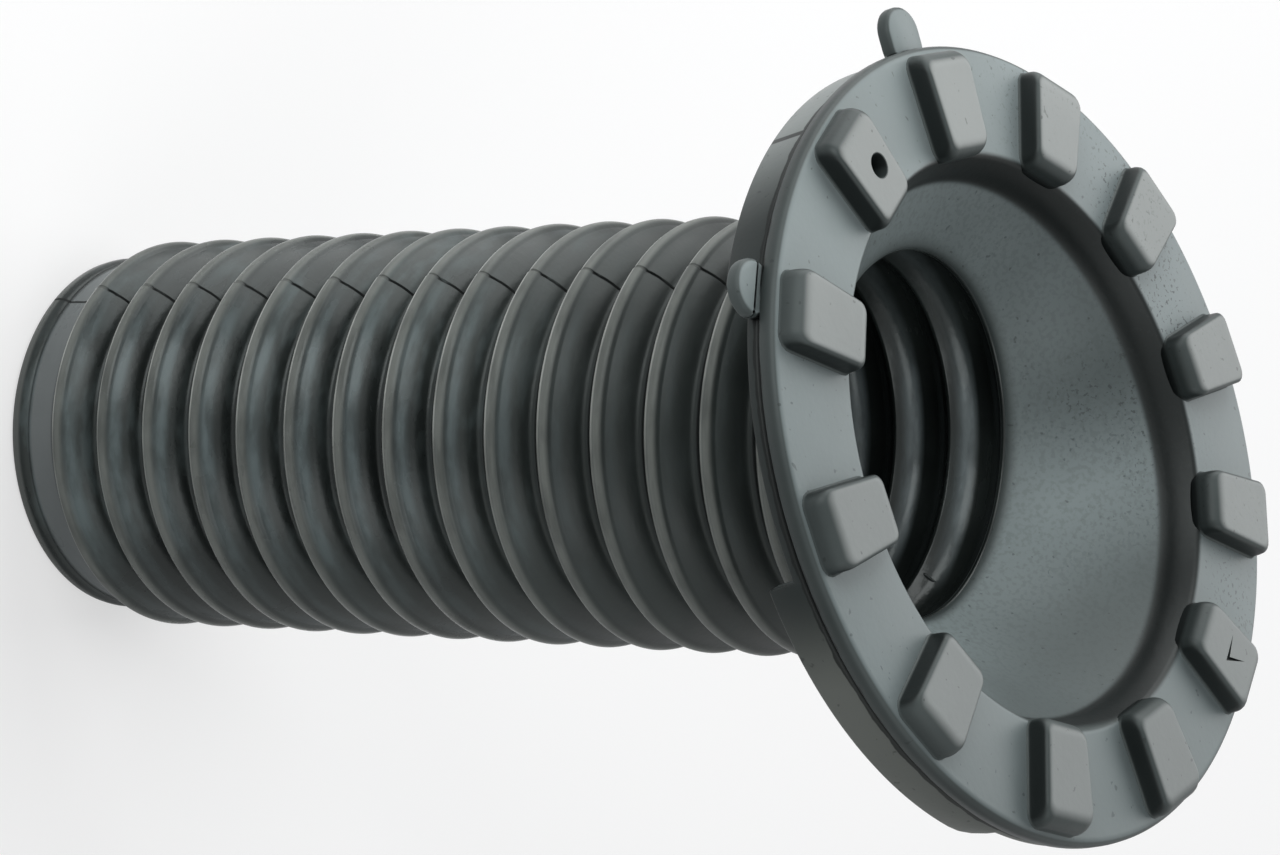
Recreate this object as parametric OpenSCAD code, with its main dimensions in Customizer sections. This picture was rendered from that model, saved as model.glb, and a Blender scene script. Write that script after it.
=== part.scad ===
// Rubber bellows boot with an inclined spring seat, moulded in one piece.
// It stands on its small collar. +Z runs up the bellows, and the seat leans
// towards +X. All sizes are in millimetres.

/* [Bellows] */
// Number of folds
folds = 15; // [6:1:20]
// Distance from one crest to the next
pitch = 13; // [12:0.5:16]
// Crest radius of the fold next to the collar
crest_bottom_r = 42.7; // [42:0.1:47]
// Crest radius of the fold next to the seat
crest_top_r = 45; // [43:0.1:48]
// Depth of a fold, from its crest to the valley
fold_depth = 6.4; // [5.6:0.1:7.2]
// Radius of the bead that runs round each crest
bead_r = 1.8; // [1.4:0.1:2]
// Half width of a crest, out to the crease beside its bead
crease_half = 2.2; // [2:0.1:2.6]
// How far the crease lies under the crest
crease_drop = 1.5; // [1.2:0.1:1.8]
// How far the shoulder of a fold lies under the crest
shoulder_drop = 3.5; // [3:0.1:4]
// Half width of a valley between two shoulders
valley_half = 2; // [1.6:0.1:2.4]
// Width of the narrow land at the bottom of a valley
valley_land = 1; // [0.6:0.1:1.6]
// Thickness of the folded wall
wall = 2.1; // [1.6:0.1:2.6]

/* [Collar] */
// Height of the plain collar under the first fold
collar_h = 10; // [8:0.5:16]
// Outer radius of the collar
collar_r = 38.2; // [37.6:0.1:38.8]
// Thickness of the collar's wall
collar_wall = 2.7; // [2.2:0.1:3.4]
// Radius of the round lip at the collar's end
lip_r = 2.3; // [1.8:0.1:2.6]
// How far the lip stands out from the collar
lip_out = 1; // [0.6:0.1:1.4]

/* [Seat] */
// Angle between the seat's axis and the bellows' axis, in degrees
seat_tilt = 13.36; // [8:0.01:15]
// Height of the seat's groove above the top of the bellows
seat_rise = 24.2; // [22:0.1:30]
// Sideways shift of the seat against its lean
seat_shift_x = -1.5; // [-2:0.1:0]
// Sideways shift of the seat across its lean
seat_shift_y = 0.6; // [-1:0.1:1]
// Outer radius of the seat's rim
rim_r = 79.25; // [78:0.05:84]
// Height of the seat's face above the groove
face_h = 3.45; // [3.2:0.05:5]
// Thickness of the seat below the groove
seat_under = 3.3; // [2.8:0.1:5]
// Radius of the rounded top edge of the rim
rim_edge_r = 1.8; // [1:0.1:2.2]
// Radius of the mouth at the underside of the seat
mouth_r = 53.8; // [52:0.1:54.4]
// Radius of the mouth below its rounded edge
mouth_edge_r = 55.2; // [54.8:0.1:55.4]
// Radius of the rounded edge between the mouth and the face
mouth_round_r = 3; // [2:0.1:3]
// Thickness of the funnel's wall
funnel_wall = 2.6; // [2:0.1:3]

/* [Skirt] */
// How far the skirt's outside lies in from the rim
skirt_in = 0.95; // [0.45:0.05:1.85]
// Depth of the skirt below the groove
skirt_depth = 9.5; // [7:0.1:14]
// Thickness of the skirt's wall
skirt_wall = 4; // [3:0.1:5]
// Width of the groove round the rim
groove_w = 0.9; // [0.6:0.1:1.2]
// Depth of the groove into the skirt
groove_deep = 0.8; // [0.4:0.1:1.2]
// Where the first window in the skirt starts, in degrees round the seat
window_from = 44; // [40:0.5:60]
// Where the first window in the skirt ends, in degrees round the seat
window_to = 86.2; // [80:0.1:100]
// Where the second window in the skirt starts, in degrees round the seat
far_window_from = 138; // [120:0.5:160]
// Where the second window in the skirt ends, in degrees round the seat
far_window_to = 196; // [170:0.5:240]

/* [Pads] */
// Number of pads on the face
pads = 12; // [6:1:12]
// Angle that the pads are counted from, in degrees round the seat
pad_start = 21.45; // [15:0.05:27]
// How far the pads crowd towards the low side of the seat, in degrees
pad_swing = 4.4; // [0:0.1:5]
// Distance of a pad's inner end from the seat's axis
pad_inner = 56.2; // [55.8:0.1:58]
// How far a pad's outer end lies in from the rim
pad_back = 1.85; // [1.65:0.05:3.25]
// Width of a pad at its inner end
pad_w = 12.9; // [11:0.1:15]
// Angle that each long side of a pad spreads outwards, in degrees
pad_flare = 3.6; // [1:0.1:6]
// Height of a pad above the face
pad_h = 4.8; // [4:0.1:8]
// Radius of a pad's corners, seen from above
pad_corner_r = 2.5; // [1.5:0.1:4]
// Radius of the top edges along a pad's long sides
pad_edge_r = 1.2; // [0.6:0.1:1.4]
// Radius of the top edge at a pad's inner end
pad_in_r = 1.6; // [1:0.1:2.4]
// Radius of the top edge at a pad's outer end, which falls softly to the rim
pad_out_r = 3.4; // [1.6:0.1:3.6]

/* [Tabs] */
// Angle of the high tab, in degrees round the seat
high_tab_at = 347.2; // [345:0.1:354]
// Width of the high tab
high_tab_w = 10.8; // [10:0.1:16]
// How far the high tab stands out from the rim
high_tab_out = 8.95; // [6.75:0.05:12.75]
// Angle of the side tab, in degrees round the seat
side_tab_at = 46.2; // [42:0.1:50]
// Width of the side tab
side_tab_w = 11.4; // [10:0.1:16]
// How far the side tab stands out from the rim
side_tab_out = 6.35; // [5.35:0.05:12.75]
// Thickness of both tabs
tab_t = 3; // [2:0.1:3.2]
// Height of the tabs' front above the groove
tab_rise = 0.2; // [0.1:0.1:0.8]
// Radius of a tab's corners
tab_corner_r = 4; // [2:0.1:4.6]
// How much a tab narrows on each side where it leaves the rim
tab_neck = 0.9; // [0:0.1:1.5]

/* [Marks] */
// Radius of the blind hole in the first pad
hole_r = 2.35; // [1.5:0.05:2.6]
// How far the blind hole lies from its pad's middle, towards the mouth
hole_in = 0.6; // [-3:0.1:3]
// Angle from the first pad's middle to the blind hole, in degrees
hole_turn = -1; // [-2.6:0.1:2.6]
// Depth of the blind hole
hole_deep = 4.2; // [2:0.1:5]
// Depth of the small mould mark in the pad opposite the blind hole
mark_deep = 0.8; // [0.3:0.1:1]

/* [Hidden] */
$fn = 96;
// Overlap that makes joined shapes meet
eps = 0.5;
// Steps in a rounded edge of the seat's section
arc_steps = 6;
// Height of the first crest and of the neck above the last fold
first_crest_z = collar_h + pitch / 2;
neck_z = collar_h + pitch * folds;
// Outer radius of the neck, at the bottom of the valley above the last fold
neck_r = crest_top_r - fold_depth;
// Depth of a point on a crest that lies inside the bead
apex_drop = 0.4;
// Length of the neck inside the funnel
neck_len = 4;
// Outer radius of the skirt, and a pad's outer end and middle from the axis
skirt_r = rim_r - skirt_in;
pad_outer = rim_r - pad_back;
pad_middle = (pad_inner + pad_outer) / 2;
// How far the window cuts into the seat's underside
window_step = 0.3;
// Slack between the funnel's hollow and the hollows it joins
funnel_step = 0.3;
// Pads are rooted this far under the face
pad_root = 3;
// The mould mark is a chevron on the pad half a turn away: its inner corner,
// from the pad's middle along it and across it, its two arms and outer corner
mark_pad = floor(pads / 2);
mark_corner = [-0.2, -1.4];
mark_arms = [[-0.9, 5.2], [4.7, 2.6]];
mark_outer = [-0.7, -1.5];

// Crest radius and height of fold i
function crest_r(i) = crest_bottom_r + (crest_top_r - crest_bottom_r) * i / (folds - 1);
function crest_z(i) = first_crest_z + pitch * i;

// Radius of the valley above fold i
function valley_r(i) = (i == folds - 1 ? neck_r : (crest_r(i) + crest_r(i + 1)) / 2 - fold_depth);

// Half distance between a fold's two shoulders
shoulder_half = pitch / 2 - valley_half;

// Outline of fold i from its lower shoulder to the valley above it
function fold_points(i) = let (r = crest_r(i), z = crest_z(i)) [
    [r - shoulder_drop, z - shoulder_half],
    [r - crease_drop, z - crease_half],
    [r - apex_drop, z],
    [r - crease_drop, z + crease_half],
    [r - shoulder_drop, z + shoulder_half],
    [valley_r(i), z + pitch / 2 - valley_land / 2],
    [valley_r(i), (i == folds - 1 ? neck_z + neck_len : z + pitch / 2 + valley_land / 2)]
];

// Outline of the whole tube, from the collar's end to the end of the neck
outer_path = concat(
    [[collar_r, 0], [collar_r, collar_h]],
    [for (i = [0:folds - 1]) each fold_points(i)]
);

// The line through a and b, moved t to its left
function shift_line(a, b, t) = let (d = (b - a) / norm(b - a)) [a + t * [-d.y, d.x], b + t * [-d.y, d.x]];

// Crossing of two lines, each given by two points
function cross_point(p, q) = let (
    u = p[1] - p[0],
    v = q[1] - q[0],
    w = q[0] - p[0]
) p[0] + u * (w.x * v.y - w.y * v.x) / (u.x * v.y - u.y * v.x);

// Inner corners of a path, moved t to its left
function inset_path(path, t) = [
    for (i = [1:len(path) - 2])
        cross_point(shift_line(path[i - 1], path[i], t), shift_line(path[i], path[i + 1], t))
];

// Inside of the tube: the collar's bore, then the folds at one wall thickness
bore_r = collar_r - collar_wall;
folds_path = [for (i = [1:len(outer_path) - 1]) outer_path[i]];
inner_path = concat([[bore_r, -eps], [bore_r, collar_h]], inset_path(folds_path, wall));
inner_neck_r = neck_r - wall;

// Section of the tube with a round bead on each crest and a round lip
module tube_section() {
    lip_centre = collar_r + lip_out - lip_r;
    difference() {
        union() {
            polygon(concat([[0, 0], [lip_centre, 0], [collar_r, lip_r]],
                [for (i = [1:len(outer_path) - 1]) outer_path[i]],
                [[0, neck_z + neck_len]]));
            translate([lip_centre, lip_r])
                circle(lip_r);
            for (i = [0:folds - 1])
                translate([crest_r(i) - bead_r, crest_z(i)])
                    circle(bead_r);
        }
        polygon(concat([[0, -eps]], inner_path,
            [[inner_neck_r, neck_z + neck_len + eps], [0, neck_z + neck_len + eps]]));
    }
}

// Places its children in the frame of the inclined seat, with the groove at 0
module in_seat() {
    translate([seat_shift_x, seat_shift_y, neck_z + seat_rise])
        rotate([0, seat_tilt, 0])
            children();
}

// Outside of the skewed funnel between the neck and the seat
module funnel_body() {
    hull() {
        translate([0, 0, neck_z])
            cylinder(h = eps, r = neck_r + funnel_step);
        in_seat()
            translate([0, 0, eps - seat_under])
                cylinder(h = eps, r = mouth_r + funnel_wall);
    }
}

// Hollow of the skewed funnel
module funnel_hollow() {
    hull() {
        translate([0, 0, neck_z + eps])
            cylinder(h = eps, r = inner_neck_r + funnel_step);
        in_seat()
            translate([0, 0, -seat_under])
                cylinder(h = 3 * eps, r = mouth_r + funnel_step);
    }
}

// Points of an arc about c, from angle a to angle b
function arc(c, r, a, b) = [
    for (i = [0:arc_steps])
        let (turn = a + (b - a) * i / arc_steps)
        c + r * [cos(turn), sin(turn)]
];

// Section of the seat: rounded mouth, face, rounded rim, groove and skirt
module seat_section() {
    polygon(concat(
        [[mouth_r, -seat_under]],
        arc([mouth_edge_r + mouth_round_r, face_h - mouth_round_r], mouth_round_r, 180, 90),
        arc([rim_r - rim_edge_r, face_h - rim_edge_r], rim_edge_r, 90, 0),
        [
            [rim_r, 0],
            [skirt_r - groove_deep, 0],
            [skirt_r - groove_deep, -groove_w],
            [skirt_r, -groove_w],
            [skirt_r, -skirt_depth],
            [skirt_r - skirt_wall, -skirt_depth],
            [skirt_r - skirt_wall, -seat_under]
        ]
    ));
}

// Window that leaves the skirt out along one stretch of the rim
module window(from, to) {
    rotate([0, 0, from])
        rotate_extrude(angle = to - from)
            translate([skirt_r - skirt_wall - eps, -skirt_depth - eps])
                square([skirt_wall + 2 * eps, skirt_depth - seat_under + window_step + eps]);
}

// Rectangle with round corners, from its low corner to its high corner
module round_rect(low, high, r) {
    translate([low.x + r, low.y])
        square([high.x - low.x - 2 * r, high.y - low.y]);
    translate([low.x, low.y + r])
        square([high.x - low.x, high.y - low.y - 2 * r]);
    for (x = [low.x + r, high.x - r])
        for (y = [low.y + r, high.y - r])
            translate([x, y])
                circle(r);
}

// Half a pad's width at distance x from the seat's axis
function pad_half(x) = pad_w / 2 + (x - pad_inner) * tan(pad_flare);

// Centre of a pad's corner at distance x from the seat's axis, on one side
function corner(x, side) = [x, side * (pad_half(x) - pad_corner_r / cos(pad_flare))];

// A pad seen from above: a wedge with four round corners
module pad_plan() {
    low = pad_inner + pad_corner_r;
    high = pad_outer - pad_corner_r;
    long_side = 90 + pad_flare;
    polygon(concat(
        arc(corner(high, 1), pad_corner_r, 0, long_side),
        arc(corner(low, 1), pad_corner_r, long_side, 180),
        arc(corner(low, -1), pad_corner_r, 180, 360 - long_side),
        arc(corner(high, -1), pad_corner_r, 360 - long_side, 360)
    ));
}

// Bar along one long side of a pad, with that side's top edge rounded
module pad_side(side) {
    low_z = face_h - pad_root - eps;
    reach = 2 * pad_w;
    translate([pad_inner, side * pad_w / 2, 0])
        rotate([0, 0, side * pad_flare])
            rotate([90, 0, 90])
                linear_extrude(3 * (pad_outer - pad_inner), center = true)
                    round_rect([side > 0 ? -reach : 0, low_z - pad_edge_r],
                        [side > 0 ? 0 : reach, face_h + pad_h], pad_edge_r);
}

// Bar across a pad from one end to beyond the other, with round top edges
module pad_end(from, to, r) {
    low_z = face_h - pad_root - r - eps;
    rotate([90, 0, 0])
        linear_extrude(4 * pad_w, center = true)
            round_rect([from, low_z], [to, face_h + pad_h], r);
}

// One pad along the seat's X axis: a plan view cut by its rounded side views
module pad() {
    intersection() {
        translate([0, 0, face_h - pad_root])
            linear_extrude(pad_root + pad_h + eps)
                pad_plan();
        pad_end(pad_inner, 2 * pad_outer, pad_in_r);
        pad_end(0, pad_outer, pad_out_r);
        pad_side(1);
        pad_side(-1);
    }
}

// Places its children on pad i, with the pad's length along X
module on_pad(i) {
    turn = pad_start - i * 360 / pads;
    rotate([0, 0, turn - pad_swing * cos(turn)])
        children();
}

// Flat round ear on the rim, along the seat's X axis
module tab(width, out) {
    root = skirt_r - skirt_wall + eps;
    reach = rim_r + out;
    ear = rim_r + min(0, out - 2 * tab_corner_r) - eps;
    half = width / 2;
    translate([0, 0, tab_rise - tab_t])
        linear_extrude(tab_t) {
            translate([root, tab_neck - half])
                square([reach - tab_corner_r - root, width - 2 * tab_neck]);
            round_rect([ear, -half], [reach, half], tab_corner_r);
        }
}

// Blind hole in the first pad
module blind_hole() {
    on_pad(0)
        rotate([0, 0, hole_turn])
            translate([pad_middle - hole_in, 0, face_h + pad_h - hole_deep])
                cylinder(h = hole_deep + eps, r = hole_r);
}

// Shallow chevron pressed into the top of its pad
module mould_mark() {
    on_pad(mark_pad)
        translate([pad_middle + mark_corner.x, mark_corner.y, face_h + pad_h - mark_deep])
            linear_extrude(mark_deep + eps)
                polygon([[0, 0], mark_arms[0], mark_outer, mark_arms[1]]);
}

module bellows_boot() {
    color("dimgray")
        difference() {
            union() {
                rotate_extrude()
                    tube_section();
                difference() {
                    funnel_body();
                    translate([0, 0, neck_z - eps])
                        cylinder(h = 3 * eps, r = inner_neck_r);
                }
                in_seat() {
                    difference() {
                        rotate_extrude()
                            seat_section();
                        window(window_from, window_to);
                        window(far_window_from, far_window_to);
                    }
                    for (i = [0:pads - 1])
                        on_pad(i)
                            pad();
                    rotate([0, 0, high_tab_at])
                        tab(high_tab_w, high_tab_out);
                    rotate([0, 0, side_tab_at])
                        tab(side_tab_w, side_tab_out);
                }
            }
            funnel_hollow();
            in_seat() {
                blind_hole();
                mould_mark();
            }
        }
}

bellows_boot();
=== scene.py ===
import math

import bmesh
import bpy
import numpy as np
from mathutils import Matrix, Vector


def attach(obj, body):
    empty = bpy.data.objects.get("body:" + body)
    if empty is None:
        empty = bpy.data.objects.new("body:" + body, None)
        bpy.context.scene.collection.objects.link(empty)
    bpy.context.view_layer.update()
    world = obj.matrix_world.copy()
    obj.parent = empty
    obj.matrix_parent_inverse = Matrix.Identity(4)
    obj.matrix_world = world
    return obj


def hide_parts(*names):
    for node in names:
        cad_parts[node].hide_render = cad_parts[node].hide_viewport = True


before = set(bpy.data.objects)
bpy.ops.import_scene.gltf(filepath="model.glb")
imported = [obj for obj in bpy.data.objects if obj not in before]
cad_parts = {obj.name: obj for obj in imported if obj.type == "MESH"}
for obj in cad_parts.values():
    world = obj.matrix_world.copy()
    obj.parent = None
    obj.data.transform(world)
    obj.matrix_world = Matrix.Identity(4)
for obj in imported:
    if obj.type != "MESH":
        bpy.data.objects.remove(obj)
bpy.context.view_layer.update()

MM = 0.001

# Tube and collar, in millimetres, as in the part's source.
FOLDS = 15
PITCH = 13.0
FIRST_CREST_Z = 16.5
CREST_LOW_R, CREST_HIGH_R = 42.7, 45.0
FOLD_DEPTH = 6.4
BEAD_R = 1.8
WALL = 2.1
COLLAR_H, COLLAR_R, BORE_R = 10.0, 38.2, 35.5
LIP_H, LIP_R, END_R = 4.4, 39.2, 36.9
NECK_Z, NECK_R, NECK_IN_R = 205.0, 38.6, 36.5
TUBE_COLUMNS = 144

# Corners of one fold: distance in from its crest, height over its crest, and cut.
# A cut is how far before and after a corner its rounding starts and ends.
FIRST_FOOT = (4.2, -3.9, 0.5)
FOOT = (6.2, -5.2, 0.5)
UNDER_BEAD = (1.75, -2.1, 0.25)
OVER_BEAD = (1.55, 2.15, 0.25)
SHALLOW_SIDE = (3.5, 4.5, 1.9)
VALLEY = (FOLD_DEPTH - 0.08, PITCH / 2 - 0.3, 0.9)
INSIDE_FOLD = [(5.2, 4.3, 1.0), (2.9, 0.0, 2.2), (5.2, -4.3, 1.0)]
INSIDE_VALLEY = (FOLD_DEPTH + WALL, -PITCH / 2, 0.8)
BEAD_ANGLES = np.radians(np.linspace(-72, 72, 9))

# A corner cut back by no more than this gets a plain chamfer.
SMALL_CUT = 0.4

# The two halves of the mould meet at this angle, in degrees, and half a turn on. They leave
# a groove down the folds, shallow on the beads, and one half stands a fine step lower.
PARTING = 19.5
GROOVE, ON_BEAD_SHARE = 0.85, 0.15
STEP = 0.10
# The groove starts to deepen this far in from the crest, and is at full depth this much further.
FLANK_START, FLANK_SPAN = 1.0, 0.8
# Half the groove's width, and the columns of points near it, in degrees from its middle. The
# slack keeps rounding from moving the middle column into the lower half.
GROOVE_HALF = 0.35
GROOVE_COLUMNS = (-0.62, -0.44, -0.30, 0, 0.30, 0.44, 0.62)
COLUMN_SLACK = 0.1

# Seat, in its own leaning frame with the groove under the rim at height 0.
SEAT_TILT = math.radians(13.36)
SEAT_AT = (-1.5, 0.6, 229.2)
RIM_R, FACE_H, UNDER_H = 79.25, 3.45, -3.3
MOUTH_R = 53.8
SKIRT_R, SKIRT_WALL, SKIRT_H = 78.3, 4.0, -9.5
SEAT_COLUMNS = 200

# Windows in the skirt, in degrees. The second has ends rounded over ROUND_SPAN degrees.
WINDOWS = ((44.0, 86.2), (138.0, 196.0))
WINDOW_TOP = UNDER_H - 0.3
ROUND_SPAN, ROUND_RISE = 4.5, 0.9
WINDOW_COLUMNS = (-0.12, 0.12, 1.2, 2.6, -1.2, -2.6)
PARTING_COLUMNS = (-0.8, -0.3, 0, 0.3, 0.8)

# Pads on the seat's face.
PADS = 12
PAD_START, PAD_SWING = 21.45, 4.4
PAD_INNER, PAD_OUTER = 56.2, 77.4
PAD_W, PAD_FLARE, PAD_H = 12.9, math.radians(3.6), 4.8
PAD_TOP = FACE_H + PAD_H
# Radii of a pad's corners seen from above, and of its top edges at the sides, the inner end
# and the outer end.
PAD_CORNER_R, PAD_EDGE_R, PAD_IN_R, PAD_OUT_R = 2.5, 1.25, 3.2, 3.6
SMALLEST_CORNER_R = 0.6
# Fillet at a pad's foot: height over the face, and how far it stands out there at the sides.
# At the inner and outer end it stands out by less.
PAD_FOOT = ((-1.7, 0.5), (0.0, 0.5), (0.12, 0.28), (0.35, 0.12), (0.8, 0.06))
FOOT_INNER_SHARE, FOOT_OUTER_SHARE = 0.1, 0.4
# Depths below a pad's top at which its rounded edge has an outline.
PAD_DEPTHS = (3.3, 2.9, 2.5, 2.1, 1.7, 1.35, 1.0, 0.75, 0.52, 0.34, 0.2, 0.1, 0.03, 0.0)
# The last outline lies flat on the top, this far inside the rounded edge.
PAD_FLAT = 0.4

# Blind hole in the first pad: its middle along and across the pad, and its radius at each
# height over the pad's top. Chevron in the seventh: its inner corner, the point of its long
# arm, its outer corner and the point of its other arm.
HOLE_PAD, CHEVRON_PAD = 0, 6
HOLE_AT = (66.2, -1.1)
HOLE_LEVELS = ((-4.2, 2.3), (-0.35, 2.35), (-0.1, 2.45), (0.05, 2.7), (1.0, 2.7))
HOLE_SIDES = 32
CHEVRON = ((66.6, -1.4), (65.7, 3.8), (65.9, -2.9), (71.3, 1.2))
CHEVRON_DEEP, CHEVRON_OVER = 0.8, 0.5
# Where a shape was cut out, edges sharper than this stay crisp.
CRISP = math.radians(25)

# Tabs on the rim: name, angle in degrees, width, and reach from the seat's axis. Their
# outline at each height is drawn in by the second number.
TABS = (("high_tab", 347.2, 10.8, 88.2), ("side_tab", 46.2, 11.4, 85.6))
TAB_LEVELS = ((-2.8, 0.7), (-2.65, 0.35), (-2.4, 0.12), (-2.0, 0.0),
              (-0.8, 0.0), (-0.4, 0.12), (-0.1, 0.4), (0.15, 0.9))

# Direction across the part, along X and Y, by which the tube's painted sheen, highlights and
# glints change, as light from that side would change them.
UP_SIDE = (0.928, -0.373)

# Colours of the tube's rubber. Several are painted light: sheen and highlights on the flanks and
# beads, and shade on the under sides and in the parting groove.
FOLD_BLACK, FOLD_DARK = (0.008, 0.010, 0.0096), (0.021, 0.026, 0.0245)
FOLD_HAZE_AND_SHEEN, FOLD_LIT = (0.064, 0.082, 0.083), (0.108, 0.138, 0.142)
FOLD_UNDER_SHADE, INNER_SHEEN = (0.004, 0.005, 0.005), (0.190, 0.228, 0.236)
BEAD_SHEEN, BEAD_SCUFF_AND_GLINT = (0.138, 0.148, 0.137), (0.46, 0.48, 0.45)
LIP_GREY = (0.092, 0.099, 0.094)
COLLAR_DARK, COLLAR_PALE = (0.095, 0.106, 0.108), (0.165, 0.180, 0.180)
PARTING_SHADE = (0.002, 0.0024, 0.0024)

# Colours of the seat's rubber. LOW and HIGH are for its -X and +X side, and FAR for its -Y side,
# where they differ by painted light and shade.
SEAT_DARK, SEAT_PALE = (0.034, 0.0425, 0.042), (0.058, 0.070, 0.069)
FUNNEL_DARK, FUNNEL_PALE = (0.078, 0.095, 0.096), (0.166, 0.199, 0.200)
FUNNEL_LOW_SHADE, FUNNEL_DEEP_SHADE = (0.074, 0.089, 0.089), (0.050, 0.060, 0.060)
FUNNEL_HIGHLIGHT, FUNNEL_GRAIN = (0.270, 0.322, 0.325), (0.050, 0.058, 0.056)
FACE_LOW, FACE_HIGH, FACE_FAR = (0.228, 0.273, 0.278), (0.285, 0.335, 0.338), (0.330, 0.388, 0.398)
TOP_LOW, TOP_HIGH, TOP_FAR = (0.250, 0.267, 0.263), (0.322, 0.340, 0.332), (0.370, 0.388, 0.380)
MOUTH_SHADE, PAD_WALL_SHADE, CHEVRON_SHADE = (0.006, 0.0075, 0.0075), (0.006, 0.008, 0.008), (0.010, 0.012, 0.012)
SKIRT_DARK, SKIRT_PALE = (0.012, 0.015, 0.0145), (0.205, 0.225, 0.220)
SKIRT_OLIVE, SKIRT_OLIVE_PALE = (0.104, 0.112, 0.102), (0.150, 0.158, 0.144)
RIM_SHADE, GROOVE_SHADE_AND_JOINT, SPECK = (0.014, 0.017, 0.0165), (0.003, 0.0035, 0.0035), (0.012, 0.014, 0.014)

RUBBER_TINT = (0.93, 1.0, 0.99, 1)
BUMP_HEIGHT = 0.3 * MM

WHITE = (1, 1, 1, 1)
SKY, SKY_STRENGTH = (0.95, 0.97, 1.0, 1), 0.30
PAPER, PAPER_WHITENED = (0.9, 0.9, 0.9, 1), 0.55
FLOOR_SIZE = 12

# Lamps: name, direction from the boot, distance, size and power.
LAMPS = (
    ("key", (0.78, -0.52, 0.35), 0.8, 0.75, 4.9),
    ("fill", (-0.31, 0.62, 0.72), 0.9, 0.45, 1.2),
    ("front", (0.49, 0.294, 0.31), 0.65, 0.35, 1.35),
    ("right", (-0.02, -0.763, 0.646), 1.5, 1.1, 11.0),
)
LAMP_AIM = (0.0, 0.0, 0.13)

# Camera, solved from the round edges in the photograph: its place, and its own axes.
CAMERA_AT = (0.26513, 0.65300, 0.62637)
CAMERA_RIGHT = (-0.2106, -0.5277, 0.8230)
CAMERA_UP = (0.9278, -0.3732, -0.0019)
CAMERA_FORWARD = (-0.3081, -0.7631, -0.5681)
CAMERA_LENS, CAMERA_SENSOR = 116.71, 36


# Meshes from rows of points

def mesh_object(name, verts, faces):
    """A smooth object from points in millimetres."""
    mesh = bpy.data.meshes.new(name)
    mesh.from_pydata([tuple(v) for v in np.asarray(verts) * MM], [], faces)
    mesh.validate()
    mesh.shade_smooth()
    obj = bpy.data.objects.new(name, mesh)
    bpy.context.scene.collection.objects.link(obj)
    return obj


def grid_faces(rows, columns, close=True):
    """Quads between rows of points that run round; if close is set, the last row joins the first."""
    faces = []
    for i in range(rows if close else rows - 1):
        a = i * columns
        b = ((i + 1) % rows) * columns
        for j in range(columns):
            k = (j + 1) % columns
            faces.append((a + j, a + k, b + k, b + j))
    return faces


def outward(obj):
    """Turns the faces of a closed mesh outwards."""
    bm = bmesh.new()
    bm.from_mesh(obj.data)
    bmesh.ops.recalc_face_normals(bm, faces=bm.faces)
    bm.to_mesh(obj.data)
    bm.free()
    return obj


def closed_skin(name, rows):
    """A closed object from rings of points, each joined to the next and the last to the first."""
    return outward(mesh_object(name, np.concatenate(rows), grid_faces(len(rows), len(rows[0]))))


def bend(points, cuts, steps):
    """Replaces each inner corner of a path by a curve of that many steps, or by a chamfer.

    The points are (radius, height) pairs, or whole rings of points.
    """
    out = [points[0]]
    for before, corner, after, cut in zip(points, points[1:], points[2:], cuts[1:]):
        if cut <= 0:
            out.append(corner)
            continue
        back = (before - corner) / np.linalg.norm(before - corner, axis=-1, keepdims=True)
        on = (after - corner) / np.linalg.norm(after - corner, axis=-1, keepdims=True)
        start, end = corner + back * cut, corner + on * cut
        for s in np.linspace(0, 1, (steps if cut > SMALL_CUT else 1) + 1):
            out.append((1 - s) ** 2 * start + 2 * s * (1 - s) * corner + s ** 2 * end)
    out.append(points[-1])
    return out


def rounded(corners, steps):
    """Path of (radius, height) points through corners given as (radius, height, cut)."""
    return np.array(bend([np.array(c[:2]) for c in corners], [c[2] for c in corners], steps))


def ring_angles(count, extra):
    """Even angles round the part in degrees, with extra ones where the shape has an edge."""
    return np.unique(np.concatenate([np.arange(count) * 360.0 / count, np.mod(extra, 360)]))


def tube_ring(r, z, angles):
    """Ring of points round the tube's axis."""
    a = np.radians(angles)
    return np.stack([r * np.cos(a), r * np.sin(a), z + 0 * a], axis=-1)


def seat_point(x, y, z):
    """A point of the seat's frame in the part's frame."""
    c, s = math.cos(SEAT_TILT), math.sin(SEAT_TILT)
    return np.stack([x * c + z * s + SEAT_AT[0], y + SEAT_AT[1], -x * s + z * c + SEAT_AT[2]], axis=-1)


def seat_ring(r, z, angles):
    """Ring of points round the seat's axis; z is a number or one height for each angle."""
    a = np.radians(angles)
    return seat_point(r * np.cos(a), r * np.sin(a), z + 0 * a)


# Tube

def crest(i):
    """Radius and height of fold i."""
    return CREST_LOW_R + (CREST_HIGH_R - CREST_LOW_R) * i / (FOLDS - 1), FIRST_CREST_Z + PITCH * i


def crest_radius_at(z):
    """Radius of the crests at any height."""
    return CREST_LOW_R + (CREST_HIGH_R - CREST_LOW_R) * (z - FIRST_CREST_Z) / (PITCH * (FOLDS - 1))


def at_crest(i, corners):
    """Corners given from the crest of fold i, as (radius, height, cut)."""
    r, z = crest(i)
    return [(r - inwards, z + up, cut) for inwards, up, cut in corners]


def outer_profile():
    """Outside of the tube from the lip to the neck."""
    corners = [(END_R, 0.0, 0), (LIP_R, 0.0, 1.9), (LIP_R, LIP_H, 1.6),
               (COLLAR_R, LIP_H + 0.6, 0.3), (COLLAR_R, COLLAR_H, 0.8)]
    bead = [(BEAD_R - BEAD_R * math.cos(a), BEAD_R * math.sin(a), 0) for a in BEAD_ANGLES]
    for i in range(FOLDS):
        foot = FOOT if i else FIRST_FOOT
        corners += at_crest(i, [foot, UNDER_BEAD, *bead, OVER_BEAD, SHALLOW_SIDE, VALLEY])
    corners[-1] = (NECK_R, NECK_Z - 0.7, 0.8)
    corners.append((NECK_R, NECK_Z + 0.4, 0))
    return rounded(corners, 3)


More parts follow.
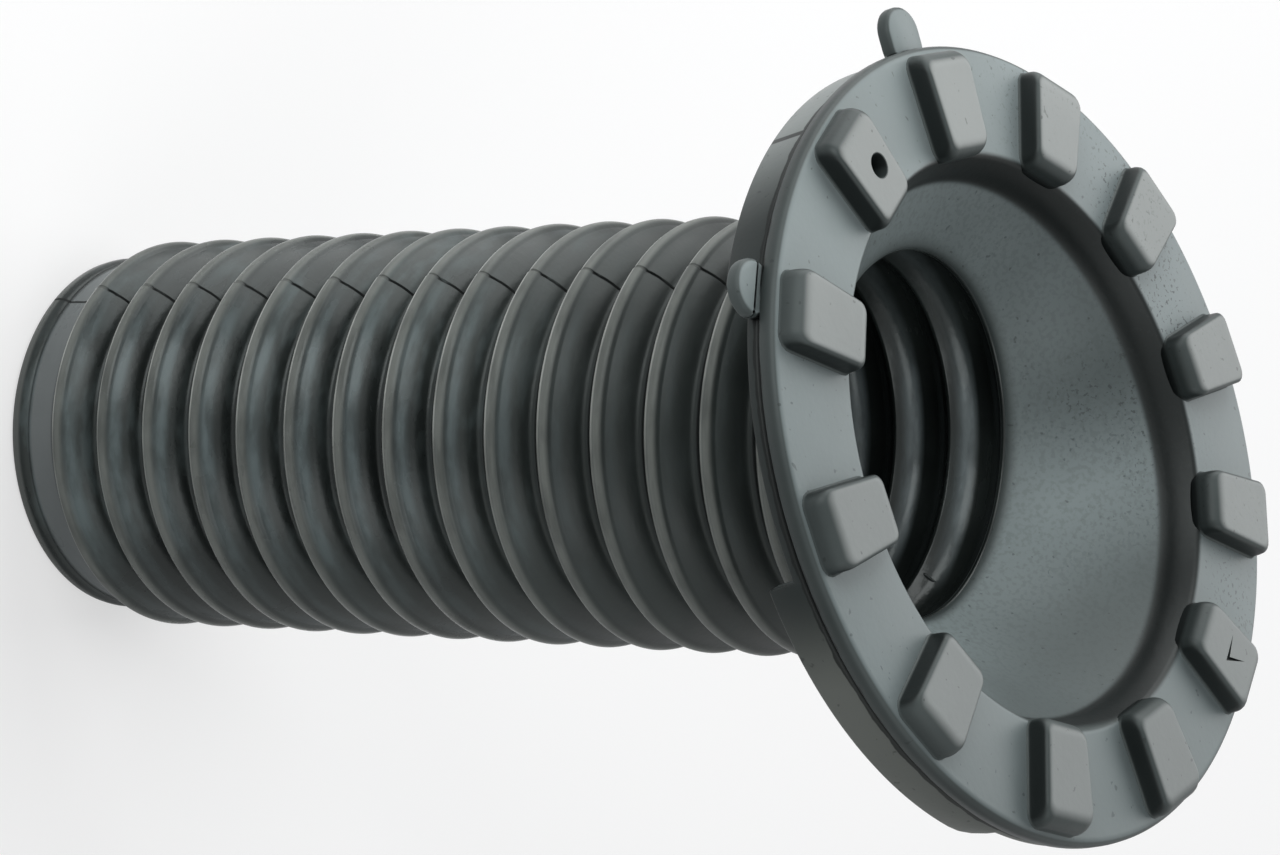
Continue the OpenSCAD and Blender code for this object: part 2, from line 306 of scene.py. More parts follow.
def inner_profile():
    """Inside of the tube from the neck down to the bore, less its last point, which the outside has."""
    corners = [(NECK_IN_R, NECK_Z + 0.4, 0), (NECK_IN_R, NECK_Z - 0.8, 0.5)]
    for i in reversed(range(FOLDS)):
        corners += at_crest(i, INSIDE_FOLD + ([INSIDE_VALLEY] if i else []))
    corners += [(BORE_R, COLLAR_H, 0.8), (BORE_R, 1.0, 0.7), (END_R, 0.0, 0)]
    return rounded(corners, 2)[:-1]


def bellows():
    """The folded tube, with the groove and the fine step that the mould's two halves leave."""
    angles = ring_angles(TUBE_COLUMNS, [PARTING + half + d for half in (0, 180) for d in GROOVE_COLUMNS])
    from_line = np.abs((angles - PARTING + 90) % 180 - 90)
    groove = np.where(from_line < GROOVE_HALF, GROOVE, 0)
    step = np.where((angles - PARTING + COLUMN_SLACK) % 360 < 180, 0, STEP)
    rows = []
    for r, z in outer_profile():
        if z > COLLAR_H:
            on_flank = min(max((crest_radius_at(z) - r - FLANK_START) / FLANK_SPAN, 0), 1)
            r = r - groove * (ON_BEAD_SHARE + (1 - ON_BEAD_SHARE) * on_flank) - step
        rows.append(tube_ring(r, z, angles))
    rows += [tube_ring(r, z, angles) for r, z in inner_profile()]
    return closed_skin("bellows", rows)


# Funnel and seat

def skirt_low(angles):
    """Height of the skirt's lower edge: the first window has square ends, the second round ones."""
    low = np.full(len(angles), SKIRT_H)
    for start, end in WINDOWS:
        low[(angles > start) & (angles < end)] = WINDOW_TOP
    start, end = WINDOWS[1]
    for beyond in (start - angles, angles - end):
        near = (beyond >= 0) & (beyond < ROUND_SPAN)
        fall = 1 - np.sqrt(np.clip(1 - (1 - beyond[near] / ROUND_SPAN) ** 2, 0, 1))
        low[near] = SKIRT_H + fall * (WINDOW_TOP - SKIRT_H) * ROUND_RISE
    return low


def seat():
    """Skewed funnel, ring seat and skirt as one closed skin."""
    edges = [end + d for window in WINDOWS for end in window for d in WINDOW_COLUMNS]
    edges += [PARTING + d for d in PARTING_COLUMNS]
    angles = ring_angles(SEAT_COLUMNS, edges)
    low = skirt_low(angles)
    skirt_in = SKIRT_R - SKIRT_WALL
    groove_r = SKIRT_R - 0.8

    # Each ring's radius, height and cut: up the outside from the neck, round the skirt and the
    # face, and down inside to the neck.
    neck = [(NECK_R, NECK_Z - 0.6, 0), (NECK_R + 0.1, NECK_Z + 1.2, 0.8)]
    skirt = [(56.4, UNDER_H, 2.2), (skirt_in, UNDER_H, 1.0), (skirt_in + 0.2, low + 0.1, 0.02),
             (SKIRT_R - 0.1, low, 0.5), (SKIRT_R, -1.3, 0.25)]
    rim = [(groove_r, -0.9, 0.1), (groove_r, -0.25, 0.1), (RIM_R - 0.1, 0.0, 0.25), (RIM_R, FACE_H, 1.9)]
    mouth = [(56.9, FACE_H, 1.0), (54.9, -0.4, 1.2), (MOUTH_R, UNDER_H - 0.4, 1.6)]
    inside = [(NECK_IN_R + 0.2, NECK_Z + 1.0, 1.2), (NECK_IN_R, NECK_Z - 0.6, 0)]

    rings = [tube_ring(r, z, angles) for r, z, _ in neck]
    rings += [seat_ring(r, z, angles) for r, z, _ in skirt + rim + mouth]
    rings += [tube_ring(r, z, angles) for r, z, _ in inside]
    cuts = [cut for _, _, cut in neck + skirt + rim + mouth + inside]
    return closed_skin("seat", bend(rings, cuts, 4))


def outline(low, high, half_low, flare, corner_r, side_in, ends_in, steps=5):
    """Closed outline of a wedge with round corners, from low to high along X.

    It is drawn in by side_in along its sides and by ends_in at its two ends.
    """
    x0, x1 = low + ends_in[0], high - ends_in[1]
    r = max(corner_r - side_in, SMALLEST_CORNER_R)
    quarter = math.pi / 2
    corners = ((x1 - r, 1, 0, quarter + flare),
               (x0 + r, 1, quarter + flare, 2 * quarter),
               (x0 + r, -1, 2 * quarter, 3 * quarter - flare),
               (x1 - r, -1, 3 * quarter - flare, 4 * quarter))
    points = []
    for x, side, start, end in corners:
        half = half_low + (x - low) * math.tan(flare) - side_in
        y = side * (half - r / math.cos(flare))
        for t in np.linspace(start, end, steps + 1):
            points.append((x + r * math.cos(t), y + r * math.sin(t)))
    return points


def placed(name, verts, faces, angle):
    """A closed object given along the seat's X axis, turned by angle round the seat's axis."""
    x, y, z = np.array(verts).T
    c, s = math.cos(angle), math.sin(angle)
    return outward(mesh_object(name, seat_point(x * c - y * s, x * s + y * c, z), faces))


def block(name, levels, angle):
    """A closed object from a stack of outlines, each a list of (x, y) points and a height."""
    n = len(levels[0][0])
    verts = [(x, y, z) for points, z in levels for x, y in points]
    faces = grid_faces(len(levels), n, close=False)
    faces.append(tuple(reversed(range(n))))
    faces.append(tuple(range(len(verts) - n, len(verts))))
    return placed(name, verts, faces, angle)


def round_in(radius, below):
    """How far a rounded top edge is drawn in, at a height this far below the top."""
    if below >= radius:
        return 0.0
    return radius - math.sqrt(max(radius ** 2 - (radius - below) ** 2, 0))


def pad_angle(i):
    """Pad i's angle round the seat: an even spacing with a swing."""
    turn = math.radians(PAD_START - i * 360 / PADS)
    return turn - math.radians(PAD_SWING) * math.cos(turn)


def pad_level(side_in, ends_in, z):
    """Outline of a pad at height z, drawn in at its sides and its two ends."""
    return outline(PAD_INNER, PAD_OUTER, PAD_W / 2, PAD_FLARE, PAD_CORNER_R, side_in, ends_in), z


def pad(i):
    """One pad with a fine fillet at its foot and rounded top edges."""
    levels = []
    for up, out in PAD_FOOT:
        levels.append(pad_level(-out, (-out * FOOT_INNER_SHARE, -out * FOOT_OUTER_SHARE), FACE_H + up))
    for below in PAD_DEPTHS:
        ends = (round_in(PAD_IN_R, below), round_in(PAD_OUT_R, below))
        levels.append(pad_level(round_in(PAD_EDGE_R, below), ends, PAD_TOP - below))
    levels.append(pad_level(PAD_EDGE_R + PAD_FLAT, (PAD_IN_R + PAD_FLAT, PAD_OUT_R + PAD_FLAT), PAD_TOP))
    return block("pad_%02d" % (i + 1), levels, pad_angle(i))


def tab(name, at, width, reach):
    """Flat round ear on the rim."""
    root = SKIRT_R - SKIRT_WALL + 1
    corner_r = width / 2 - 0.3
    levels = [(outline(root, reach, width / 2, 0, corner_r, inset, (inset, inset), 8), z)
              for z, inset in TAB_LEVELS]
    return block(name, levels, math.radians(at))


def carve(obj, cutter):
    """Takes cutter's shape out of obj, keeps the cut's edges crisp, and removes cutter."""
    mod = obj.modifiers.new("carve", "BOOLEAN")
    mod.operation = "DIFFERENCE"
    mod.solver = "EXACT"
    mod.object = cutter
    bpy.context.view_layer.update()
    graph = bpy.context.evaluated_depsgraph_get()
    mesh = bpy.data.meshes.new_from_object(obj.evaluated_get(graph))
    mesh.set_sharp_from_angle(angle=CRISP)
    obj.modifiers.clear()
    obj.data = mesh
    bpy.data.objects.remove(cutter)


def hole_cutter():
    """Blind hole near the middle of the first pad."""
    turns = np.linspace(0, 2 * math.pi, HOLE_SIDES + 1)[:-1]
    x, y = HOLE_AT
    levels = [([(x + r * math.cos(t), y + r * math.sin(t)) for t in turns], PAD_TOP + over)
              for over, r in HOLE_LEVELS]
    return block("hole_cutter", levels, pad_angle(HOLE_PAD))


def chevron_cutter():
    """Chevron pressed into the seventh pad, with two arms that run out to points."""
    verts = [(x, y, z) for z in (PAD_TOP - CHEVRON_DEEP, PAD_TOP + CHEVRON_OVER) for x, y in CHEVRON]
    faces = [(0, 1, 2), (0, 2, 3), (4, 5, 6), (4, 6, 7)]
    faces += [(0, 1, 5, 4), (1, 2, 6, 5), (2, 3, 7, 6), (3, 0, 4, 7)]
    return placed("chevron_cutter", verts, faces, pad_angle(CHEVRON_PAD))


# Materials

class Nodes:
    """Short calls that add nodes to one rubber material and hand back their output sockets."""

    def __init__(self, name, specular):
        self.mat = bpy.data.materials.new(name)
        self.mat.use_nodes = True
        self.tree = self.mat.node_tree
        self.shader = self.tree.nodes["Principled BSDF"]
        self.shader.inputs["Specular IOR Level"].default_value = specular
        self.shader.inputs["Specular Tint"].default_value = RUBBER_TINT
        self.place = self.tree.nodes.new("ShaderNodeTexCoord").outputs["Object"]
        self.normal = self.tree.nodes.new("ShaderNodeNewGeometry").outputs["Normal"]

    def put(self, socket, value):
        """Links a socket to an input, or sets the input to a number or vector."""
        if isinstance(value, bpy.types.NodeSocket):
            self.tree.links.new(value, socket)
        else:
            socket.default_value = value

    def maths(self, kind, a, b=0.0):
        node = self.tree.nodes.new("ShaderNodeMath")
        node.operation = kind
        self.put(node.inputs[0], a)
        self.put(node.inputs[1], b)
        return node.outputs[0]

    def times(self, first, *rest):
        """Product of sockets and numbers."""
        for value in rest:
            first = self.maths("MULTIPLY", first, value)
        return first

    def plus(self, first, *rest):
        """Sum of sockets and numbers."""
        for value in rest:
            first = self.maths("ADD", first, value)
        return first

    def less(self, a, b):
        return self.maths("SUBTRACT", a, b)

    def vector(self, kind, a, b=(0, 0, 0), out="Vector"):
        node = self.tree.nodes.new("ShaderNodeVectorMath")
        node.operation = kind
        self.put(node.inputs[0], a)
        self.put(node.inputs[1], b)
        return node.outputs[out]

    def dot(self, a, b):
        return self.vector("DOT_PRODUCT", a, b, "Value")

    def split(self, vector):
        node = self.tree.nodes.new("ShaderNodeSeparateXYZ")
        self.put(node.inputs[0], vector)
        return node.outputs

    def join(self, x, y, z):
        node = self.tree.nodes.new("ShaderNodeCombineXYZ")
        for socket, value in zip(node.inputs, (x, y, z)):
            self.put(socket, value)
        return node.outputs[0]

    def noise(self, vector, scale, detail):
        node = self.tree.nodes.new("ShaderNodeTexNoise")
        self.put(node.inputs["Vector"], vector)
        node.inputs["Scale"].default_value = scale
        node.inputs["Detail"].default_value = detail
        return node.outputs["Fac"]

    def ramp(self, value, low, high, *, start=0.0, to=1.0):
        """Smooth step from start at low to the value to at high; low may be the larger one."""
        node = self.tree.nodes.new("ShaderNodeMapRange")
        node.interpolation_type = "SMOOTHSTEP"
        self.put(node.inputs["Value"], value)
        node.inputs["From Min"].default_value = low
        node.inputs["From Max"].default_value = high
        node.inputs["To Min"].default_value = start
        node.inputs["To Max"].default_value = to
        return node.outputs["Result"]

    def band(self, value, low, high, soft):
        """1 between low and high, with soft edges."""
        return self.times(self.ramp(value, low - soft, low + soft),
                          self.ramp(value, high - soft, high + soft, start=1.0, to=0.0))

    def mix(self, share, a, b):
        """Colour a where share is 0 and b where it is 1; both are sockets or colours."""
        node = self.tree.nodes.new("ShaderNodeMix")
        node.data_type = "RGBA"
        self.put(node.inputs[0], share)
        for socket, value in ((node.inputs[6], a), (node.inputs[7], b)):
            self.put(socket, value if isinstance(value, bpy.types.NodeSocket) else (*value, 1))
        return node.outputs[2]

    def finish(self, colour, roughness, height, strength):
        """Joins the layers to the shader, with height as a fine bump."""
        self.put(self.shader.inputs["Base Color"], colour)
        self.put(self.shader.inputs["Roughness"], roughness)
        bump = self.tree.nodes.new("ShaderNodeBump")
        bump.inputs["Strength"].default_value = strength
        bump.inputs["Distance"].default_value = BUMP_HEIGHT
        self.put(bump.inputs["Height"], height)
        self.put(self.shader.inputs["Normal"], bump.outputs["Normal"])
        return self.mat


class FoldNodes(Nodes):
    """Nodes of the tube's rubber, with sockets for the places that its layers go by.

    up is 1 on the tube's UP_SIDE and -1 on the other, and sideways is the same along Y. fade
    weakens the painted sheen towards the seat and away from UP_SIDE, where the light falls off.
    from_crest is the height over the nearest crest, and under_top the distance in from it, in
    millimetres. outside and turned_in tell the tube's outer skin from its inner one.
    """

    def __init__(self):
        super().__init__("fold_rubber", 0.30)
        x, y, self.z = self.split(self.place)
        self.radius = self.vector("LENGTH", self.join(x, y, 0.0), out="Value")
        self.turn = self.maths("ARCTAN2", y, x)
        self.mottle = self.noise(self.place, 26, 6)
        self.streak = self.noise(self.join(self.radius, self.times(self.turn, 0.012), self.z), 340, 4)

        upwards = self.plus(self.times(x, UP_SIDE[0]), self.times(y, UP_SIDE[1]))
        self.up = self.maths("DIVIDE", upwards, self.radius)
        self.sideways = self.maths("DIVIDE", y, self.radius)
        self.fade = self.times(self.ramp(self.z, 0.095, 0.165, start=1.0, to=0.12),
                               self.ramp(self.up, -0.80, -0.35, start=0.25))

        folds = self.maths("DIVIDE", self.less(self.z, FIRST_CREST_Z * MM), PITCH * MM)
        past = self.less(self.maths("FRACT", self.plus(folds, 0.5)), 0.5)
        self.from_crest = self.times(past, PITCH)
        widening = (CREST_HIGH_R - CREST_LOW_R) * MM / (FOLDS - 1)
        crest_r = self.plus(self.times(folds, widening), CREST_LOW_R * MM)
        self.under_top = self.times(self.less(crest_r, self.radius), 1 / MM)

        normal = self.split(self.normal)
        outwards = self.plus(self.times(normal[0], x), self.times(normal[1], y))
        self.outside = self.ramp(outwards, -0.002, 0.002)
        self.turned_in = self.less(1.0, self.outside)
        self.on_bead = self.times(self.ramp(self.under_top, 0.9, 1.5, start=1.0, to=0.0), self.outside)


def tube_haze_and_sheen(n, colour):
    """Pale streaks of film and painted sheen, a painted highlight on the upper flanks, painted
    shade on the under sides, and more painted sheen inside.
    """
    # Pale streaks, part film and part painted sheen; fade weakens them where the light falls off.
    haze_and_sheen = n.times(n.ramp(n.streak, 0.42, 0.72, to=0.75), n.ramp(n.mottle, 0.36, 0.62))
    colour = n.mix(n.times(haze_and_sheen, n.fade), colour, FOLD_HAZE_AND_SHEEN)
    # Painted highlight on the flanks above each crest.
    lit = n.times(n.band(n.from_crest, 1.6, 3.4, 0.7), n.outside, n.fade,
                  n.ramp(n.streak, 0.30, 0.65, start=0.3, to=0.8),
                  n.ramp(n.up, 0.40, 0.80, start=1.0, to=0.1))
    colour = n.mix(lit, colour, FOLD_LIT)
    # Painted shade on the under side of each fold.
    colour = n.mix(n.times(n.band(n.from_crest, -5.9, -1.85, 0.25), n.outside), colour, FOLD_UNDER_SHADE)
    # Painted sheen on the inner folds that show through the mouth.
    inner = n.times(n.band(n.from_crest, -4.9, -2.4, 0.9), n.ramp(n.under_top, 2.6, 3.2), n.turned_in,
                    n.ramp(n.sideways, -0.2, -0.8),
                    n.ramp(n.up, 0.15, 0.60, start=1.0, to=0.22),
                    n.ramp(n.streak, 0.30, 0.62, start=0.55, to=0.95))
    return n.mix(inner, colour, INNER_SHEEN)


def bead_sheen_and_scuff(n, colour):
    """Painted grey highlight on the beads, and a lower edge partly rubbed pale and partly painted glint."""
    # Painted highlight on the beads' tops.
    bead_sheen = n.times(n.band(n.from_crest, -0.5, 1.15, 0.55), n.on_bead,
                   n.ramp(n.streak, 0.25, 0.65, start=0.5, to=0.9))
    colour = n.mix(bead_sheen, colour, BEAD_SHEEN)
    # Pale line on the beads' lower edge, partly rubbed and partly painted glint, stronger towards UP_SIDE
    # and weaker towards the seat.
    scuff_and_glint = n.times(n.band(n.from_crest, -1.45, -0.60, 0.35), n.on_bead,
                    n.ramp(n.streak, 0.25, 0.60, start=0.5),
                    n.ramp(n.up, -0.25, 0.45, start=0.42),
                    n.ramp(n.z, 0.120, 0.180, start=1.0, to=0.62))
    return n.mix(scuff_and_glint, colour, BEAD_SCUFF_AND_GLINT)


def collar_grey(n, colour):
    """Greyer lip and collar."""
    lip = n.times(n.band(n.z, 0.3 * MM, 2.7 * MM, 0.5 * MM), n.ramp(n.radius, 37.4 * MM, 38.2 * MM))
    colour = n.mix(lip, colour, LIP_GREY)
    collar = n.times(n.band(n.z, 5.3 * MM, 11.6 * MM, 0.6 * MM), n.ramp(n.radius, 36.6 * MM, 37.2 * MM))
    return n.mix(collar, colour, n.mix(n.mottle, COLLAR_DARK, COLLAR_PALE))


def parting_line(n):
    """1 along the mould's parting line, which wanders a little and is fainter on the beads."""
    wobble = n.times(n.less(n.noise(n.place, 260, 2), 0.5), 0.006)
    half_turns = n.plus(n.maths("DIVIDE", n.turn, math.pi), wobble, 0.5 - PARTING / 180)
    degrees_off = n.times(n.maths("ABSOLUTE", n.less(n.maths("FRACT", half_turns), 0.5)), 180.0)
    return n.times(n.ramp(degrees_off, 0.40, 0.62, start=1.0, to=0.0), n.outside,
                   n.ramp(n.on_bead, 0.2, 1.0, start=0.96, to=0.45))


def fold_rubber():
    """Black rubber of the tube, in layers from the bare rubber up."""
    n = FoldNodes()
    colour = n.mix(n.ramp(n.mottle, 0.32, 0.68), FOLD_BLACK, FOLD_DARK)
    colour = tube_haze_and_sheen(n, colour)
    colour = bead_sheen_and_scuff(n, colour)
    colour = collar_grey(n, colour)
    line = parting_line(n)
    # Painted shade in the parting groove.
    colour = n.mix(line, colour, PARTING_SHADE)
    rough = n.plus(n.ramp(n.mottle, 0.30, 0.70, start=0.22, to=0.33),
                   n.ramp(n.streak, 0.40, 0.75, to=0.07),
                   n.ramp(n.z, 0.110, 0.160, to=0.14),
                   n.times(n.turned_in, -0.22),
                   n.times(line, 0.5))
    return n.finish(colour, rough, n.plus(n.noise(n.place, 700, 3), n.streak), 0.14)


class SeatNodes(Nodes):
    """Nodes of the seat's rubber, with sockets for places in the seat's own leaning frame.

    height is over the groove, radius from the seat's axis, and angle round it in degrees.
    along_x and along_y are distances from the axis, and far_side is 1 well away on the -Y side.
    facing is 1 where the surface looks along the axis, and outwards where it looks away from it.
    """

    def __init__(self):
        super().__init__("seat_rubber", 0.26)
        axis = (math.sin(SEAT_TILT), 0, math.cos(SEAT_TILT))
        east = (math.cos(SEAT_TILT), 0, -math.sin(SEAT_TILT))
        from_seat = self.vector("SUBTRACT", self.place, tuple(c * MM for c in SEAT_AT))
        self.height = self.dot(from_seat, axis)
        along_axis = self.vector("MULTIPLY", self.join(self.height, self.height, self.height), axis)
        flat = self.vector("SUBTRACT", from_seat, along_axis)
        self.radius = self.vector("LENGTH", flat, out="Value")
        self.along_x, self.along_y, _ = self.split(flat)
        self.angle = self.times(self.maths("ARCTAN2", self.along_y, self.dot(flat, east)), 180 / math.pi)
        self.facing = self.dot(self.normal, axis)
        self.outwards = self.dot(self.normal, self.vector("NORMALIZE", flat))

        self.mottle = self.noise(self.place, 28, 6)
        self.cloud = self.noise(self.place, 11, 3)
        self.far_side = self.ramp(self.along_y, -0.020, -0.062)
        self.on_pads = self.ramp(self.height, (FACE_H + 1) * MM, (FACE_H + 3) * MM)
        self.at_rim = self.band(self.radius, 76.5 * MM, 79.45 * MM, 0.15 * MM)


def funnel_shading_and_grain(n, colour):
    """Cloudy tone in the funnel that also paints blotchy reflections, painted shade on the -X side
    but for one band of painted highlight, and a fine grain.
    """
    z = n.split(n.place)[2]
    funnel = n.times(n.ramp(n.height, -4.6 * MM, -2.4 * MM, start=1.0, to=0.0),
                     n.ramp(n.radius, 53.4 * MM, 54.6 * MM, start=1.0, to=0.0),
                     n.ramp(z, (NECK_Z + 0.6) * MM, (NECK_Z + 3.2) * MM))
    # Cloudy tone that also paints blotchy reflections.
    shade = n.mix(n.ramp(n.cloud, 0.36, 0.64), FUNNEL_DARK, FUNNEL_PALE)
    # Painted shade on the -X side, a band of painted highlight, and deeper painted shade further on.
    shade = n.mix(n.ramp(n.along_x, -0.045, 0.010, start=0.45, to=0.0), shade, FUNNEL_LOW_SHADE)
    shade = n.mix(n.band(n.along_x, -0.032, -0.013, 0.012), shade, n.mix(0.62, shade, FUNNEL_HIGHLIGHT))
    shade = n.mix(n.ramp(n.along_x, -0.046, -0.030, start=0.22, to=0.0), shade, FUNNEL_DEEP_SHADE)
    grain = n.ramp(n.noise(n.place, 950, 2), 0.46, 0.64, to=0.20)
    return n.mix(funnel, colour, n.mix(grain, shade, FUNNEL_GRAIN))


def face_bloom_and_light(n, colour):
    """Grey on what faces along the axis, part whitish film and part painted light: bluer on the
    ring's face, warmer and paler on the pads' tops, and lighter towards +X and on the -Y side.
    """
    # Painted light, part whitish film, on what faces along the axis.
    bloom_and_light = n.times(n.ramp(n.facing, 0.80, 0.99, to=0.50),
                    n.ramp(n.cloud, 0.30, 0.70, start=0.90, to=1.10),
                    n.ramp(n.mottle, 0.34, 0.62, start=0.88, to=1.06),
                    n.ramp(n.along_x, -0.080, 0.080, start=0.86, to=1.10),
                    n.ramp(n.height, (PAD_TOP - 1.2) * MM, (PAD_TOP - 0.3) * MM, start=1.0, to=1.16))
    high = n.ramp(n.along_x, -0.005, 0.075)
    face = n.mix(n.times(n.far_side, 0.5), n.mix(high, FACE_LOW, FACE_HIGH), FACE_FAR)
    tops = n.mix(n.times(n.far_side, 0.6), n.mix(high, TOP_LOW, TOP_HIGH), TOP_FAR)
    return n.mix(bloom_and_light, colour, n.mix(n.on_pads, face, tops))


def mouth_ring(n):
    """1 on the ring of painted shade round the mouth, which lies further in on the +Y side."""
    reach = n.plus(n.radius, n.ramp(n.along_y, -0.010, 0.030, to=1.8 * MM))
    return n.times(n.band(reach, 53.3 * MM, 57.5 * MM, 0.7 * MM),
                   n.band(n.height, -4.2 * MM, 3.9 * MM, 0.6 * MM))


def pad_walls(n, colour):
    """Painted shade on the pads' walls, less at their two ends, and painted shade on the chevron's floor.
    """
    wall_shade = n.times(n.ramp(n.facing, 0.20, 0.80, start=0.88, to=0.0),
                   n.ramp(n.height, (FACE_H + 0.1) * MM, (FACE_H + 0.6) * MM),
                   n.ramp(n.outwards, 0.40, 0.85, start=1.0, to=0.25),
                   n.ramp(n.outwards, -0.40, -0.85, start=1.0, to=0.50))
    # Painted shade on the pads' walls.
    colour = n.mix(wall_shade, colour, PAD_WALL_SHADE)
    pressed = n.times(n.band(n.height, (PAD_TOP - 1.0) * MM, (PAD_TOP - 0.6) * MM, 0.05 * MM),
                      n.ramp(n.facing, 0.95, 0.98))
    # Painted shade on the chevron's floor.
    return n.mix(pressed, colour, CHEVRON_SHADE)


def skirt_and_rim(n, colour):
    """Skirt dark, paler round +X and olive on -X, painted shade on the rim's side, and painted shadow
    in the groove under the rim, with a dark joint line on the skirt.
    """
    pale_turn = n.times(n.ramp(n.angle, 37, 12), n.ramp(n.angle, -60, -30))
    tone = n.mix(pale_turn, SKIRT_DARK, SKIRT_PALE)
    tone = n.mix(n.ramp(n.along_x, 0.004, -0.018), tone, n.mix(n.mottle, SKIRT_OLIVE, SKIRT_OLIVE_PALE))
    skirt = n.times(n.ramp(n.height, -1.4 * MM, -0.8 * MM, start=0.85, to=0.0), n.at_rim)
    colour = n.mix(skirt, colour, tone)
    # Painted shade on the rim's rounded side.
    rim = n.times(n.ramp(n.facing, 0.10, 0.75, start=0.40, to=0.0),
                  n.band(n.height, 0.1 * MM, 3.2 * MM, 0.3 * MM), n.at_rim)
    colour = n.mix(rim, colour, RIM_SHADE)
    # Painted shadow under the rim's step, with a ragged edge, and a dark joint line on the skirt.
    ragged = n.times(n.less(n.noise(n.place, 190, 3), 0.5), 1.6 * MM)
    groove = n.band(n.plus(n.height, ragged), -1.9 * MM, 0.2 * MM, 0.15 * MM)
    joint = n.times(n.band(n.angle, 16.8, 17.9, 0.12), n.ramp(n.height, -1.0 * MM, -1.4 * MM))
    groove_shade_and_joint = n.times(n.maths("MAXIMUM", groove, joint), n.times(n.at_rim, 0.92))
    return n.mix(groove_shade_and_joint, colour, GROOVE_SHADE_AND_JOINT)


def specks(n):
    """1 on sparse dark specks, and on the finer pits of the far side."""
    sparse = n.ramp(n.noise(n.place, 620, 1.5), 0.70, 0.75, to=0.45)
    pits = n.times(n.ramp(n.noise(n.place, 1150, 2), 0.60, 0.66, to=0.75), n.far_side,
                   n.ramp(n.on_pads, 0.0, 1.0, start=1.0, to=0.25),
                   n.ramp(n.mottle, 0.42, 0.60))
    return n.maths("MAXIMUM", sparse, pits)


def seat_rubber():
    """Grey rubber of the seat, in layers from the bare rubber up."""
    n = SeatNodes()
    colour = n.mix(n.ramp(n.mottle, 0.30, 0.70), SEAT_DARK, SEAT_PALE)
    colour = funnel_shading_and_grain(n, colour)
    colour = face_bloom_and_light(n, colour)
    # Painted shade round the mouth.
    ring = mouth_ring(n)
    colour = n.mix(ring, colour, MOUTH_SHADE)
    colour = pad_walls(n, colour)
    colour = skirt_and_rim(n, colour)
    colour = n.mix(specks(n), colour, SPECK)
    rough = n.plus(n.ramp(n.mottle, 0.30, 0.70, start=0.40, to=0.50), n.times(ring, -0.05))
    return n.finish(colour, rough, n.noise(n.place, 700, 3), 0.12)


# Floor, world, lights and camera

def white_world():
    """White to the camera, in reflections and through glass; a soft pale light to every other ray."""
    world = bpy.data.worlds.new("world")
    bpy.context.scene.world = world
    world.use_nodes = True
    nodes, links = world.node_tree.nodes, world.node_tree.links
    soft = nodes["Background"]
    soft.inputs["Color"].default_value = SKY
    soft.inputs["Strength"].default_value = SKY_STRENGTH
    white = nodes.new("ShaderNodeBackground")
    white.inputs["Color"].default_value = WHITE
    white.inputs["Strength"].default_value = 1.0
    path = nodes.new("ShaderNodeLightPath")
    seen = path.outputs["Is Camera Ray"]
    for ray in ("Is Glossy Ray", "Is Transmission Ray"):
        either = nodes.new("ShaderNodeMath")
        either.operation = "MAXIMUM"
        links.new(seen, either.inputs[0])
        links.new(path.outputs[ray], either.inputs[1])
        seen = either.outputs[0]
    mix = nodes.new("ShaderNodeMixShader")
    links.new(seen, mix.inputs[0])
    links.new(soft.outputs[0], mix.inputs[1])
    links.new(white.outputs[0], mix.inputs[2])
    links.new(mix.outputs[0], nodes["World Output"].inputs["Surface"])


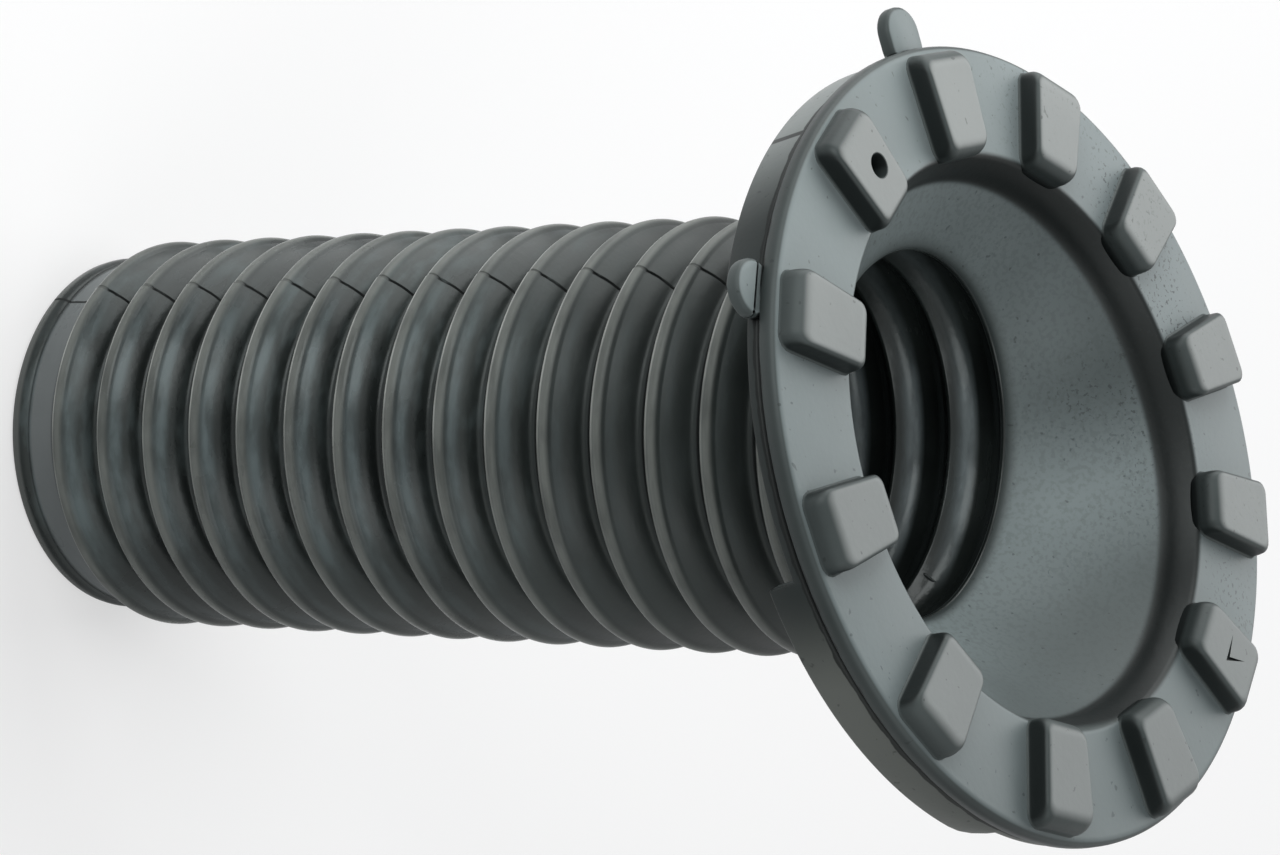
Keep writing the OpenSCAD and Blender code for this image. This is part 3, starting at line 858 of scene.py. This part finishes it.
def paper():
    """Matt white paper. To the camera it is part plain white, so that its shadows look faint."""
    mat = bpy.data.materials.new("paper")
    mat.use_nodes = True
    nodes, links = mat.node_tree.nodes, mat.node_tree.links
    base = nodes["Principled BSDF"]
    base.inputs["Base Color"].default_value = PAPER
    base.inputs["Roughness"].default_value = 0.9
    base.inputs["Specular IOR Level"].default_value = 0.0
    path = nodes.new("ShaderNodeLightPath")
    share = nodes.new("ShaderNodeMath")
    share.operation = "MULTIPLY"
    share.inputs[1].default_value = PAPER_WHITENED
    links.new(path.outputs["Is Camera Ray"], share.inputs[0])
    bright = nodes.new("ShaderNodeEmission")
    bright.inputs["Color"].default_value = WHITE
    seen = nodes.new("ShaderNodeMixShader")
    links.new(share.outputs[0], seen.inputs[0])
    links.new(base.outputs[0], seen.inputs[1])
    links.new(bright.outputs[0], seen.inputs[2])
    links.new(seen.outputs[0], nodes["Material Output"].inputs["Surface"])
    return mat


def lamp(name, direction, distance, size, power):
    """Soft square lamp that looks at the middle of the boot from direction."""
    way = Vector(direction).normalized()
    data = bpy.data.lights.new(name, "AREA")
    data.shape = "SQUARE"
    data.size = size
    data.energy = power
    obj = bpy.data.objects.new(name, data)
    obj.location = Vector(LAMP_AIM) + way * distance
    obj.rotation_euler = (-way).to_track_quat("-Z", "Y").to_euler()
    bpy.context.scene.collection.objects.link(obj)


def photo_camera():
    """Camera that stands and looks as the photograph's did."""
    data = bpy.data.cameras.new("camera")
    data.sensor_fit = "HORIZONTAL"
    data.sensor_width = CAMERA_SENSOR
    data.lens = CAMERA_LENS
    obj = bpy.data.objects.new("camera", data)
    bpy.context.scene.collection.objects.link(obj)
    turn = Matrix((Vector(CAMERA_RIGHT), Vector(CAMERA_UP), -Vector(CAMERA_FORWARD))).transposed()
    obj.matrix_world = Matrix.Translation(CAMERA_AT) @ turn.to_4x4()
    bpy.context.scene.camera = obj


# The boot: sixteen pieces that stand for the part's one node.
tube_material, seat_material = fold_rubber(), seat_rubber()
pieces = [bellows(), seat()]
pads = [pad(i) for i in range(PADS)]
carve(pads[HOLE_PAD], hole_cutter())
carve(pads[CHEVRON_PAD], chevron_cutter())
pieces += pads
pieces += [tab(*settings) for settings in TABS]
for piece in pieces:
    piece.data.materials.clear()
    piece.data.materials.append(tube_material if piece.name == "bellows" else seat_material)
    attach(piece, "root")
    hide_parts("bellows_boot")

white_world()
bpy.ops.mesh.primitive_plane_add(size=FLOOR_SIZE, location=(0, 0, 0))
floor = bpy.context.object
floor.name = "floor"
floor.data.materials.append(paper())
for settings in LAMPS:
    lamp(*settings)
photo_camera()
bpy.context.scene.view_settings.view_transform = "Standard"
